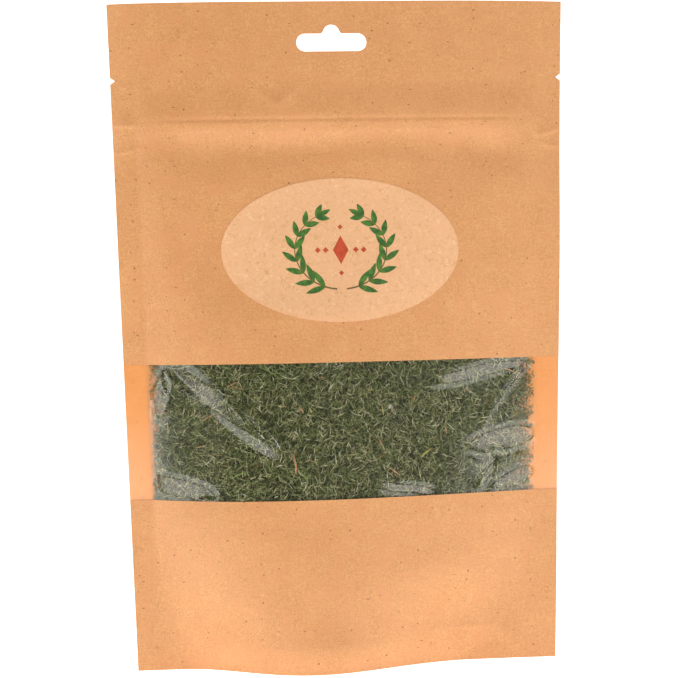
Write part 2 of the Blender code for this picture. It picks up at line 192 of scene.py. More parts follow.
def frontRelief(x, z):
    # outwards, on top of the plain form
    own = relief["wallWave"] * softNoise(11, x, z, 34) + 0.25 * softNoise(12, x, z, 17)
    for centreX, centreZ, radiusX, radiusZ, height in relief["hills"]:
        own = own + hill(x, z, centreX, centreZ, radiusX, radiusZ, height)
    own = own * insideSeals(x, z) * ease(z, -4, 12)
    ragged = relief["zipRagged"] * softNoise(13, x, z * 0, 15) * ease(z, 200, 222) * (1 - ease(z, 230, 238))
    own = own + smoothThrough(relief["frontProfile"], z + ragged) * nearSeals(x, z)
    for points, width, height in relief["creases"]:
        own = own + crease(x, z, points, width, height)
    return own


def backRelief(x, z):
    own = relief["backWave"] * softNoise(21, x, z, 46) + 0.35 * softNoise(22, x, z, 20)
    own = own * insideSeals(x, z) * ease(z, -4, 12)
    return own + smoothThrough(relief["backProfile"], z) * nearSeals(x, z)


# Sheets, the gaps between them and the size of their mesh cells
sheets = {"sealGap": 0.03, "film": 0.07, "paper": 0.15, "plyGap": 0.02, "lapEase": 6.0,
          "deepest": 0.7,  # share of its depth that a wall may sink, so the two walls never meet
          "cell": 1.15, "fineRows": (223, 242), "backCell": 1.5}


def frontFace(x, z):
    # the inner face of the film, or of the paper where there is no film
    depth = wallDepth(x, z)
    own = np.maximum(frontRelief(x, z), -sheets["deepest"] * depth)
    return sharedLean(x, z) - depth - own - sheets["sealGap"]


def overFilm(z):
    lap, run = pouch["filmLap"], sheets["lapEase"]
    return (ease(z, pouch["windowBottom"] - lap - run, pouch["windowBottom"] - lap)
            - ease(z, pouch["windowTop"] + lap, pouch["windowTop"] + lap + run))


def paperFace(x, z):
    return frontFace(x, z) - (sheets["film"] + sheets["plyGap"]) * overFilm(z)


def backFace(x, z):
    depth = wallDepth(x, z)
    own = np.maximum(backRelief(x, z), -sheets["deepest"] * depth)
    return sharedLean(x, z) + depth + own + sheets["sealGap"]


def slopesOf(face, x, z):
    return (face(x + 1, z) - face(x - 1, z)) / 2, (face(x, z + 1) - face(x, z - 1)) / 2


def newPiece(name, points, faces, materials, faceMaterials=None, smooth=True):
    mesh = bpy.data.meshes.new(name)
    mesh.from_pydata((np.asarray(points) * mm).tolist(), [], faces)
    for material in materials:
        mesh.materials.append(material)
    if faceMaterials is not None:
        mesh.polygons.foreach_set("material_index", faceMaterials)
    if smooth:
        mesh.shade_smooth()
    mesh.update()
    piece = bpy.data.objects.new(name, mesh)
    bpy.context.scene.collection.objects.link(piece)
    return piece


def sheetPiece(name, x, z, yInner, yOuter, materials):
    # two faces of a grid and the cut edge between them, with outer faces on material 0
    rows, columns = x.shape
    inner = np.stack([x, yInner, z], -1).reshape(-1, 3)
    outer = np.stack([x, yOuter, z], -1).reshape(-1, 3)
    at = np.arange(rows * columns).reshape(rows, columns)
    cells = np.stack([at[:-1, :-1], at[:-1, 1:], at[1:, 1:], at[1:, :-1]], -1).reshape(-1, 4)
    count = rows * columns
    front = np.mean(yOuter) < np.mean(yInner)
    outerCells = cells + count if front else cells[:, ::-1] + count
    innerCells = cells[:, ::-1] if front else cells
    edge = np.concatenate([at[0, :], at[1:, -1], at[-1, -2::-1], at[-2:0:-1, 0]])
    following = np.roll(edge, -1)
    rim = np.stack([edge, following, following + count, edge + count], -1)
    if not front:
        rim = rim[:, ::-1]
    faces = np.concatenate([outerCells, rim, innerCells]).tolist()
    index = np.zeros(len(faces), np.int32)
    if len(materials) > 1:
        index[len(outerCells) + len(rim):] = 1
    piece = newPiece(name, np.concatenate([inner, outer]), faces, materials, index)
    piece.data.set_sharp_from_angle(angle=math.radians(60))  # a cut edge is crisp
    return piece


def wallGrid(bottom, top, cell):
    # rows stand closer together at the zip and its creases
    columns = int(2 * pouch["headerHalfWidth"] / cell)
    rows = max(2, int((top - bottom) / cell))
    heights = np.linspace(bottom, top, rows + 1)
    low, high = sheets["fineRows"]
    if bottom < low and high < top:
        heights = np.concatenate([heights[heights < low - 0.2], np.arange(low, high, cell / 2),
                                  heights[heights > high + 0.2]])
    across, z = np.meshgrid(np.linspace(-1, 1, columns + 1), heights)
    return across * halfWidth(z), z


def srgb(hexColour):
    channels = [int(hexColour[i:i + 2], 16) / 255 for i in (1, 3, 5)]
    return tuple(c / 12.92 if c <= 0.04045 else ((c + 0.055) / 1.055) ** 2.4 for c in channels) + (1.0,)


def addNode(tree, kind, settings=None, inputs=None, stops=None):
    node = tree.nodes.new("ShaderNode" + kind)
    for name, value in (settings or {}).items():
        setattr(node, name, value)
    for socket, value in (inputs or {}).items():
        if isinstance(value, bpy.types.NodeSocket):
            tree.links.new(value, node.inputs[socket])
        else:
            node.inputs[socket].default_value = value
    if stops:
        elements = node.color_ramp.elements
        while len(elements) < len(stops):
            elements.new(0.5)
        for element, (position, colour) in zip(elements, stops):
            element.position = position
            element.color = srgb(colour)
    return node


def newMaterial(name):
    material = bpy.data.materials.new(name)
    material.use_nodes = True
    tree = material.node_tree
    tree.nodes.clear()
    output = tree.nodes.new("ShaderNodeOutputMaterial")
    return material, tree, output


def millimetres(tree):
    # object coordinates, counted in millimetres
    place = addNode(tree, "TexCoord")
    scaled = addNode(tree, "VectorMath", {"operation": "SCALE"},
                     {0: place.outputs["Object"], "Scale": 1 / mm})
    return scaled.outputs["Vector"]


print("Form and helpers ready")

# Unbleached kraft paper, laminated with matt film: a warm brown sheet with soft clouds of pulp, a fine
# fibrous grain and a few dark shives of bark
kraft = {
    "pale": "#dda269", "mean": "#d49760", "deep": "#c98c55", "warm": "#d69461", "fleck": "#5e2c0c",
    "cloudSize": 13.0,
    "grainSize": 0.75,  # pulp fibres are 0.03 wide, too fine to show, so the grain is drawn coarser
    "fibreLength": 4.0, "fibreWidth": 0.55,
    "fleckSpacing": 7.5, "fleckSize": 0.5,
    "roughness": 0.42, "grainDepth": 0.06,
}


def flatPlace(tree, place):
    # width and height only, for flecks that lie in the sheet
    parts = addNode(tree, "SeparateXYZ", None, {0: place})
    return addNode(tree, "CombineXYZ", None, {"X": parts.outputs["X"], "Y": parts.outputs["Z"]}).outputs[0]


def fleckMask(tree, place, spacing, size, seedShift, stretch):
    # round or drawn-out specks: most cells of the pattern hold none, and a few hold a big one
    moved = addNode(tree, "Mapping", None, {"Vector": place, "Location": (seedShift, seedShift * 0.7, 0),
                                            "Scale": (stretch[0], stretch[1], 1)})
    cells = addNode(tree, "TexVoronoi", {"voronoi_dimensions": "2D"},
                    {"Vector": moved.outputs[0], "Scale": 1 / spacing, "Randomness": 1.0})
    luck = addNode(tree, "SeparateColor", None, {0: cells.outputs["Color"]})
    radius = addNode(tree, "MapRange", None, {"Value": luck.outputs[0], "From Min": 0.35, "From Max": 1.0,
                                              "To Min": 0.0, "To Max": size / spacing})
    inside = addNode(tree, "Math", {"operation": "SUBTRACT"},
                     {0: radius.outputs[0], 1: cells.outputs["Distance"]})
    return addNode(tree, "MapRange", None, {"Value": inside.outputs[0], "From Min": 0.0,
                                            "From Max": 0.15 / spacing}).outputs[0]


def kraftMaterial(name, look):
    material, tree, output = newMaterial(name)
    place = millimetres(tree)
    flat = flatPlace(tree, place)
    clouds = addNode(tree, "TexNoise", None,
                     {"Vector": place, "Scale": 1 / look["cloudSize"], "Detail": 3.0, "Roughness": 0.6})
    hue = addNode(tree, "TexNoise", None, {"Vector": place, "Scale": 1 / 7, "Detail": 2.0, "Roughness": 0.5})
    grain = addNode(tree, "TexNoise", None,
                    {"Vector": place, "Scale": 1 / look["grainSize"], "Detail": 2.0, "Roughness": 0.6})
    layers = [(clouds, 0.5), (grain, 1.5)]
    for wide, tall, weight in ((look["fibreLength"], look["fibreWidth"], 0.45),
                               (look["fibreWidth"], look["fibreLength"], 0.3)):
        drawnOut = addNode(tree, "Mapping", None, {"Vector": place, "Scale": (1 / wide, 1, 1 / tall)})
        fibres = addNode(tree, "TexNoise", None,
                         {"Vector": drawnOut.outputs[0], "Scale": 1.0, "Detail": 2.0, "Distortion": 0.6})
        layers.append((fibres, weight))
    tone = None
    for source, weight in layers:
        middle = 0.5 if tone is None else 0
        centred = addNode(tree, "Math", {"operation": "MULTIPLY_ADD"},
                          {0: source.outputs["Fac"], 1: weight, 2: middle - 0.5 * weight})
        tone = centred if tone is None else addNode(tree, "Math", {"operation": "ADD"},
                                                    {0: tone.outputs[0], 1: centred.outputs[0]})
    colour = addNode(tree, "ValToRGB", None, {"Fac": tone.outputs[0]},
                     [(0.2, look["deep"]), (0.5, look["mean"]), (0.8, look["pale"])])
    warmth = addNode(tree, "MapRange", None, {"Value": hue.outputs["Fac"], "From Min": 0.45, "From Max": 0.65,
                                              "To Min": 0.0, "To Max": 0.5})
    warmed = addNode(tree, "Mix", {"data_type": "RGBA", "blend_type": "MIX"},
                     {"Factor": warmth.outputs[0], 6: colour.outputs["Color"], 7: srgb(look["warm"])})
    roundFlecks = fleckMask(tree, flat, look["fleckSpacing"], look["fleckSize"], 0, (1, 1))
    drawn = fleckMask(tree, flat, look["fleckSpacing"] * 0.8, look["fleckSize"] * 0.6, 31, (0.35, 1))
    flecks = addNode(tree, "Math", {"operation": "MAXIMUM"}, {0: roundFlecks, 1: drawn})
    share = addNode(tree, "Math", {"operation": "MULTIPLY"}, {0: flecks.outputs[0], 1: 0.62})
    flecked = addNode(tree, "Mix", {"data_type": "RGBA"},
                      {"Factor": share.outputs[0], 6: warmed.outputs[2], 7: srgb(look["fleck"])})
    bump = addNode(tree, "Bump", None,
                   {"Strength": 0.5, "Distance": look["grainDepth"] * mm, "Height": tone.outputs[0]})
    shader = addNode(tree, "BsdfPrincipled", None,
                     {"Base Color": flecked.outputs[2], "Roughness": look["roughness"], "IOR": 1.46,
                      "Normal": bump.outputs["Normal"]})
    tree.links.new(shader.outputs[0], output.inputs["Surface"])
    return material


kraftOutside = kraftMaterial("kraft paper, matt-laminated", kraft)
kraftInside = kraftMaterial("kraft paper, film-lined inner side", {
    **kraft, "pale": "#f6ab60", "mean": "#f2a254", "deep": "#ea9948", "warm": "#f4a058", "roughness": 0.35})

# Hang slot and tear notches, punched through front and back
punch = {
    "slotCentre": (-2.85, 272.1), "slotWidth": 30.7, "slotHeight": 7.8,
    "bumpTop": 279.8, "bumpRadius": 3.6, "bumpFlare": 1.3,
    "notchZ": 256.7, "notchDepth": 2.1, "notchHalfHeight": 1.4,
}


def arc(centreX, centreZ, radius, start, end, count):
    angles = np.radians(np.linspace(start, end, count))
    return [(centreX + radius * math.cos(a), centreZ + radius * math.sin(a)) for a in angles]


def faceOneWay(piece, forwards=False):
    # the faces agree with each other, and an open sheet's look to the front
    bm = bmesh.new()
    bm.from_mesh(piece.data)
    bmesh.ops.recalc_face_normals(bm, faces=bm.faces)
    if forwards and sum(face.normal.y for face in bm.faces) > 0:
        bmesh.ops.reverse_faces(bm, faces=bm.faces)
    bm.to_mesh(piece.data)
    bm.free()


def cutterPiece(name, outline):
    count = len(outline)
    points = [(x, -20, z) for x, z in outline] + [(x, 20, z) for x, z in outline]
    faces = [list(range(count)), list(range(2 * count - 1, count - 1, -1))]
    faces += [[i, i + count, (i + 1) % count + count, (i + 1) % count] for i in range(count)]
    cutter = newPiece(name, points, faces, [], smooth=False)
    faceOneWay(cutter)
    return cutter


def punchCutters():
    slotX, slotZ = punch["slotCentre"]
    end = punch["slotHeight"] / 2
    run = punch["slotWidth"] / 2 - end
    radius = punch["bumpRadius"]
    bumpZ = punch["bumpTop"] - radius
    flare = radius + punch["bumpFlare"]
    flareZ = slotZ + end + punch["bumpFlare"]
    slot = arc(slotX + run, slotZ, end, -90, 90, 20)
    slot += arc(slotX + flare, flareZ, punch["bumpFlare"], 270, 180, 6)
    slot += arc(slotX, bumpZ, radius, 12, 168, 18)
    slot += arc(slotX - flare, flareZ, punch["bumpFlare"], 0, -90, 6)
    slot += arc(slotX - run, slotZ, end, 90, 270, 20)
    cutters = [cutterPiece("slotCutter", slot)]
    for side in (-1, 1):
        edge = side * halfWidth(punch["notchZ"])
        tip = edge - side * punch["notchDepth"]
        tall = punch["notchHalfHeight"]
        z = punch["notchZ"]
        inwards = [(3 + punch["notchDepth"], 2.4 * tall), (0.35, 0.3), (0.1, 0.15)]
        notch = [(tip + side * out, z - down) for out, down in inwards] + [(tip, z)]
        notch += [(tip + side * out, z + up) for out, up in inwards[::-1]]
        cutters.append(cutterPiece("notchCutter", notch))
    return cutters


def applyModifiers(piece):
    graph = bpy.context.evaluated_depsgraph_get()
    mesh = bpy.data.meshes.new_from_object(piece.evaluated_get(graph))
    piece.modifiers.clear()
    piece.data = mesh


def punchThrough(piece, cutters):
    for cutter in cutters:
        cut = piece.modifiers.new("cut", "BOOLEAN")
        cut.operation = "DIFFERENCE"
        cut.solver = "EXACT"
        cut.object = cutter
    bpy.context.view_layer.update()
    applyModifiers(piece)


cutters = punchCutters()
upperX, upperZ = wallGrid(pouch["windowTop"], pouch["height"], sheets["cell"])
upperInner = paperFace(upperX, upperZ)
frontUpper = sheetPiece("kraftFrontUpper", upperX, upperZ, upperInner, upperInner - sheets["paper"],
                        [kraftOutside, kraftInside])
punchThrough(frontUpper, cutters)
lowerX, lowerZ = wallGrid(0, pouch["windowBottom"], sheets["cell"])
lowerInner = paperFace(lowerX, lowerZ)
frontLower = sheetPiece("kraftFrontLower", lowerX, lowerZ, lowerInner, lowerInner - sheets["paper"],
                        [kraftOutside, kraftInside])
backX, backZ = wallGrid(0, pouch["height"], sheets["backCell"])
backInner = backFace(backX, backZ)
back = sheetPiece("kraftBack", backX, backZ, backInner, backInner + sheets["paper"],
                  [kraftOutside, kraftInside])
punchThrough(back, cutters)
for cutter in cutters:
    bpy.data.objects.remove(cutter)
for piece, node, slotName in ((frontUpper, "front_upper_panel", "kraft_front_upper"),
                              (frontLower, "front_lower_panel", "kraft_front_lower"),
                              (back, "back_panel", "kraft_back")):
    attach(piece, "root")
    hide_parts(node)
print("Kraft panels made")

# Bottom gusset: up one wall, across the foot and down the other
gusset = {"floor": 9.0, "foldHeight": 42.0, "foldPower": 2.6, "bow": 2.0, "bend": 3.0, "reach": 0.8,
          "clear": 0.9, "legFoot": 0.6, "thickness": 0.25}


def crestToX(share, z):
    left = smoothThrough(pouch["crestLeft"], z)
    left = np.maximum(left, 1e-6)
    straight = (1 - np.sqrt(1 - 4 * left * (share - left))) / (2 * left)
    return straight * sealEdge(z)


def foldLine(share):
    return gusset["floor"] + (gusset["foldHeight"] - gusset["floor"]) * np.abs(share) ** gusset["foldPower"]


def gussetPiece():
    share = np.linspace(-gusset["reach"], gusset["reach"], 120)
    fold = foldLine(share)
    bow = gusset["bow"] * (1 - share**2)

    def wallsAt(z):
        x = crestToX(share, z)
        return (np.minimum(frontFace(x, z) + gusset["clear"], -0.2),
                np.maximum(backFace(x, z) - gusset["clear"], 0.2))

    rows = []
    for side, sign in ((0, -1), (1, 1)):
        bend = np.minimum(gusset["bend"], 0.45 * np.abs(wallsAt(fold)[side]))
        foot = gusset["legFoot"]
        heights = [foot + (fold - bend - foot) * part for part in np.linspace(0, 1, 14)]
        leg = [(wallsAt(z)[side], z) for z in heights]
        middle = np.abs(leg[-1][0]) - bend
        for angle in np.radians((18, 36, 54, 72, 90)):
            leg.append((sign * (middle + bend * math.cos(angle)), fold - bend + bend * math.sin(angle)))
        for part in (0.8, 0.6, 0.4, 0.2):
            leg.append((sign * middle * part, fold + bow * (1 - part**2)))
        rows += leg + [(0 * fold, fold + bow)] if side == 0 else leg[::-1]
    grid = np.stack([np.stack([crestToX(share, z), y, z], -1) for y, z in rows], 1)
    piece = bpy.data.objects.new("kraftGusset", bpy.data.meshes.new("kraftGusset"))
    bpy.context.scene.collection.objects.link(piece)
    rows, across = grid.shape[:2]
    at = np.arange(rows * across).reshape(rows, across)
    cells = np.stack([at[:-1, :-1], at[1:, :-1], at[1:, 1:], at[:-1, 1:]], -1).reshape(-1, 4)
    piece.data.from_pydata((grid.reshape(-1, 3) * mm).tolist(), [], cells.tolist())
    piece.data.materials.append(kraftOutside)
    piece.data.shade_smooth()
    solid = piece.modifiers.new("thickness", "SOLIDIFY")
    solid.thickness = gusset["thickness"] * mm
    solid.offset = 0
    applyModifiers(piece)
    return piece


bottom = gussetPiece()
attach(bottom, "root")
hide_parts("bottom_gusset")
print("Gusset made")

# Cast polypropylene film: clear and glossy, pulled a little uneven by the heat seals, so it mirrors
# the softboxes in patches
film = {
    "ior": 1.49, "roughness": 0.15, "haze": 0.006, "milk": "#d8cfa0",
    "rippleSize": 14, "rippleDepth": 0.02,
    "twoFaces": 1.85,  # what a film's two faces mirror, beside one
    "cell": 0.62,
    # stretched places that lean to a lamp: middle x and z, half length and width, turn in degrees,
    # lean along x and z, and how softly it ends
    "facets": [
        (60.5, 128.0, 17, 2.6, 13, -0.01, 0.155, 0.5),
        (69.5, 97.5, 13, 4.8, 10, -0.03, 0.185, 0.4),
        (62.0, 83.0, 8, 1.5, 60, -0.03, 0.177, 0.6),
        (74.5, 79.8, 9, 3.6, 25, -0.05, 0.198, 0.4),
        (25.5, 77.9, 9, 2.0, -5, 0.05, 0.14, 0.5),
        (-73.0, 80.0, 13, 4.0, -12, 0.1, 0.157, 0.4),
        (-59.0, 119.5, 18, 2.6, -41, -0.08, 0.055, 1.3),
        (-80.0, 119.0, 8, 2.6, 84, 0.02, 0.13, 0.8),
        (-78.8, 127.2, 3.6, 0.85, 94, 0.2, 0.185, 0.8),
        (75.2, 123.6, 11, 0.8, 49, -0.217, 0.19, 0.8),
    ],
    # folds too sharp to mirror a lamp whole: points, width, height
    "folds": [
        ([(82.5, 131.5), (67, 114), (62.2, 106.2), (54, 91)], 0.9, 0.25),
        ([(53, 91), (66, 92.5), (80, 92)], 1.2, -0.35),
        ([(56, 78), (63, 87), (68, 90)], 1.0, -0.25),
    ],
}


def filmMaterial():
    material, tree, output = newMaterial("cast polypropylene film")
    place = millimetres(tree)
    ripple = addNode(tree, "TexNoise", None,
                     {"Vector": place, "Scale": 1 / film["rippleSize"], "Detail": 2.0, "Distortion": 0.8})
    bump = addNode(tree, "Bump", None,
                   {"Strength": 0.6, "Distance": film["rippleDepth"] * mm, "Height": ripple.outputs["Fac"]})
    clear = addNode(tree, "BsdfTransparent", None, {"Color": (1, 1, 1, 1)})
    gloss = addNode(tree, "BsdfGlossy", None,
                    {"Color": (1, 1, 1, 1), "Roughness": film["roughness"], "Normal": bump.outputs["Normal"]})
    milky = addNode(tree, "BsdfDiffuse", None, {"Color": srgb(film["milk"])})
    # the face met first mirrors for both faces, and the second one lets everything through
    side = addNode(tree, "NewGeometry")
    facing = addNode(tree, "Fresnel", None, {"IOR": film["ior"], "Normal": bump.outputs["Normal"]})
    both = addNode(tree, "Math", {"operation": "MULTIPLY"}, {0: facing.outputs[0], 1: film["twoFaces"]})
    first = addNode(tree, "Math", {"operation": "SUBTRACT"}, {0: 1.0, 1: side.outputs["Backfacing"]})
    mirrored = addNode(tree, "Math", {"operation": "MULTIPLY", "use_clamp": True},
                       {0: both.outputs[0], 1: first.outputs[0]})
    hazed = addNode(tree, "Math", {"operation": "MULTIPLY"}, {0: first.outputs[0], 1: film["haze"]})
    body = addNode(tree, "MixShader", None,
                   {"Fac": hazed.outputs[0], 1: clear.outputs[0], 2: milky.outputs[0]})
    surface = addNode(tree, "MixShader", None,
                      {"Fac": mirrored.outputs[0], 1: body.outputs[0], 2: gloss.outputs[0]})
    tree.links.new(surface.outputs[0], output.inputs["Surface"])
    return material


def filmRelief(x, z):
    # how far the film stands back from the wall's even face
    back = np.zeros(np.shape(x))
    for centreX, centreZ, along, across, turn, leanX, leanZ, soft in film["facets"]:
        dx, dz = x - centreX, z - centreZ
        c, s = math.cos(math.radians(turn)), math.sin(math.radians(turn))
        reach = (np.abs((dx * c + dz * s) / along) ** 2.5 + np.abs((dz * c - dx * s) / across) ** 2.5) ** 0.4
        back += (1 - ease(reach, 1, 1 + soft)) * (leanX * dx + leanZ * dz)
    for points, width, height in film["folds"]:
        back -= crease(x, z, points, width, height)
    held = ease(z, pouch["windowBottom"] + 0.3, pouch["windowBottom"] + 1.8)
    held *= 1 - ease(z, pouch["windowTop"] - 1.6, pouch["windowTop"] - 0.3)
    held *= 1 - ease(np.abs(x), sealEdge(z) - 2, sealEdge(z))
    return back * held


def filmFace(x, z):
    return frontFace(x, z) + filmRelief(x, z)


filmX, filmZ = wallGrid(pouch["windowBottom"] - pouch["filmLap"], pouch["windowTop"] + pouch["filmLap"],
                        film["cell"])
filmInner = filmFace(filmX, filmZ)
window = sheetPiece("filmWindow", filmX, filmZ, filmInner, filmInner - sheets["film"], [filmMaterial()])
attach(window, "root")
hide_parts("window_film")
print("Window film made")

# Uncoated sticker paper with straw in the pulp: paler and yellower than the kraft, with fine
# curled fibres, digitally printed
label = {
    "centre": (-0.9, 181.8), "halfWidth": 51.8, "halfHeight": 31.2, "thickness": 0.14, "gap": 0.03,
    "paper": "#ebb689", "paperDeep": "#e3ad7d",
    # size, shift, colour and strength of each lot of fibres
    "fibres": [(3.4, 0, "#cc965c", 0.5), (2.6, 40, "#c99a52", 0.5), (3.0, 90, "#f3cfa0", 0.5)],
    "green": "#4f7d2a", "greenDeep": "#2f5a1e", "brown": "#7a5a2c", "brownDeep": "#5f5a28",
    "red": "#c64a24", "redDeep": "#b23f1f", "inkDepth": 0.02,
}


def labelFace(x, z):
    return paperFace(x, z) - sheets["paper"] - label["gap"]


def stickerMaterial():
    material, tree, output = newMaterial("uncoated sticker paper with straw fibres")
    place = millimetres(tree)
    clouds = addNode(tree, "TexNoise", None,
                     {"Vector": place, "Scale": 1 / 1.4, "Detail": 4.0, "Roughness": 0.65})
    colour = addNode(tree, "ValToRGB", None, {"Fac": clouds.outputs["Fac"]},
                     [(0.3, label["paperDeep"]), (0.7, label["paper"])])
    colour = colour.outputs["Color"]
    # a curled fibre is a level line of a noise, broken up by a second one
    for size, shift, hexColour, strength in label["fibres"]:
        moved = addNode(tree, "VectorMath", {"operation": "ADD"}, {0: place, 1: (shift, 0, shift)})
        curl = addNode(tree, "TexNoise", None, {"Vector": moved.outputs[0], "Scale": 1 / size, "Detail": 1.0})
        off = addNode(tree, "Math", {"operation": "SUBTRACT"}, {0: curl.outputs["Fac"], 1: 0.5})
        off = addNode(tree, "Math", {"operation": "ABSOLUTE"}, {0: off.outputs[0]})
        line = addNode(tree, "Math", {"operation": "LESS_THAN"}, {0: off.outputs[0], 1: 0.05 / size})
        broken = addNode(tree, "TexNoise", None,
                         {"Vector": moved.outputs[0], "Scale": 1 / 3.6, "Detail": 0.0})
        kept = addNode(tree, "Math", {"operation": "GREATER_THAN"}, {0: broken.outputs["Fac"], 1: 0.55})
        fibre = addNode(tree, "Math", {"operation": "MULTIPLY"}, {0: line.outputs[0], 1: kept.outputs[0]})
        share = addNode(tree, "Math", {"operation": "MULTIPLY"}, {0: fibre.outputs[0], 1: strength})
        mixed = addNode(tree, "Mix", {"data_type": "RGBA"},
                        {"Factor": share.outputs[0], 6: colour, 7: srgb(hexColour)})
        colour = mixed.outputs[2]
    shader = addNode(tree, "BsdfPrincipled", None,
                     {"Base Color": colour, "Roughness": 0.55, "IOR": 1.46})
    tree.links.new(shader.outputs[0], output.inputs["Surface"])
    return material


u, v = np.meshgrid(np.linspace(-1, 1, 91), np.linspace(-1, 1, 61))
labelX = label["centre"][0] + label["halfWidth"] * u * np.sqrt(1 - v**2 / 2)
labelZ = label["centre"][1] + label["halfHeight"] * v * np.sqrt(1 - u**2 / 2)
labelInner = labelFace(labelX, labelZ)
sticker = sheetPiece("stickerOval", labelX, labelZ, labelInner, labelInner - label["thickness"],
                     [stickerMaterial()])
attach(sticker, "root")
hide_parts("label_oval")


def inkMaterial(name, pale, deep):
    material, tree, output = newMaterial(name)
    place = millimetres(tree)
    patches = addNode(tree, "TexNoise", None, {"Vector": place, "Scale": 1 / 2.5, "Detail": 3.0})
    colour = addNode(tree, "ValToRGB", None, {"Fac": patches.outputs["Fac"]}, [(0.38, deep), (0.62, pale)])
    shader = addNode(tree, "BsdfPrincipled", None,
                     {"Base Color": colour.outputs["Color"], "Roughness": 0.5, "IOR": 1.48})
    tree.links.new(shader.outputs[0], output.inputs["Surface"])
    return material


def printShapes(name, shapes, material):
    # each shape is a left edge and a right edge of points, laid on the sticker as a thin film of ink
    points, faces = [], []
    for left, right in shapes:
        start = len(points)
        left, right = np.asarray(left), np.asarray(right)
        for share in np.linspace(0, 1, 4):
            points += (left + (right - left) * share).tolist()
        count = len(left)
        for row in range(3):
            for i in range(count - 1):
                a = start + row * count + i
                faces.append([a, a + 1, a + 1 + count, a + count])
    flat = np.array(points)
    y = labelFace(flat[:, 0], flat[:, 1]) - label["thickness"] - label["inkDepth"]
    piece = newPiece(name, np.stack([flat[:, 0], y, flat[:, 1]], -1), faces, [material])
    faceOneWay(piece, forwards=True)
    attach(piece, "root")
    return piece


def leafShape(rootX, rootZ, angle, length, width):
    t = np.linspace(0, 1, 12)
    half = width / 2 * np.sin(np.pi * t) ** 0.8 * (1 - 0.35 * t)
    along, out = np.array([math.cos(angle), math.sin(angle)]), np.array([-math.sin(angle), math.cos(angle)])
    spine = np.array([rootX, rootZ]) + np.outer(t * length, along)
    return spine + np.outer(half, out), spine - np.outer(half, out)


def stemShape(points, width):
    points = np.asarray(points, float)
    heading = np.gradient(points, axis=0)
    heading /= np.linalg.norm(heading, axis=1, keepdims=True)
    half = np.linspace(width, width * 0.4, len(points)) / 2
    out = np.stack([-heading[:, 1], heading[:, 0]], -1) * half[:, None]
    return points + out, points - out


# A plain wreath: two laurel sprays that mirror each other, and a small lozenge with dots between them
wreath = {"radiusX": 20.0, "radiusZ": 17.0, "leaves": 8, "leafLength": 9.0, "leafWidth": 3.1,
          "tipLength": 6, "tipWidth": 2.6, "stemWidth": 0.7}


def wreathShapes():
    centreX, centreZ = label["centre"]
    leaves, stems = [], []
    for side in (-1, 1):
        angles = np.radians(np.linspace(-84, 62, 40))
        path = np.stack([centreX + side * wreath["radiusX"] * np.cos(angles),
                         centreZ + wreath["radiusZ"] * np.sin(angles)], -1)
        stems.append(stemShape(path, wreath["stemWidth"]))
        for i in range(wreath["leaves"]):
            k = 4 + int(i * 34 / (wreath["leaves"] - 1))
            heading = path[k + 1] - path[k - 1]
            angle = math.atan2(heading[1], heading[0])
            size = wreath["leafLength"] * (1 - 0.35 * i / wreath["leaves"])
            for lean in (0.62, -0.62):
                leaves.append(leafShape(*path[k], angle + lean, size, wreath["leafWidth"]))
        tip = path[-1]
        heading = path[-1] - path[-2]
        angle = math.atan2(heading[1], heading[0])
        leaves.append(leafShape(*tip, angle, wreath["tipLength"], wreath["tipWidth"]))
    return leaves, stems


def lozengeShape(centreX, centreZ, wide, tall):
    # half as wide and half as tall as the shape
    return [[(centreX + side * wide * (1 - abs(t)), centreZ + tall * t) for t in np.linspace(-1, 1, 9)]
            for side in (-1, 1)]


leaves, stems = wreathShapes()
printShapes("printLeaves", leaves, inkMaterial("printed ink, leaf green", label["green"], label["greenDeep"]))
printShapes("printStems", stems, inkMaterial("printed ink, stem brown", label["brown"], label["brownDeep"]))
middleX, middleZ = label["centre"]
redInk = inkMaterial("printed ink, brick red", label["red"], label["redDeep"])
lozenges = [lozengeShape(middleX, middleZ, 3.4, 6.2)]
lozenges += [lozengeShape(middleX + dx, middleZ, 1.3, 1.3) for dx in (-10, -6.6, 6.6, 10)]
lozenges += [lozengeShape(middleX, middleZ + dz, 1.1, 1.1) for dz in (-10, 10)]
printShapes("printLozenges", lozenges, redInk)
print("Sticker made")

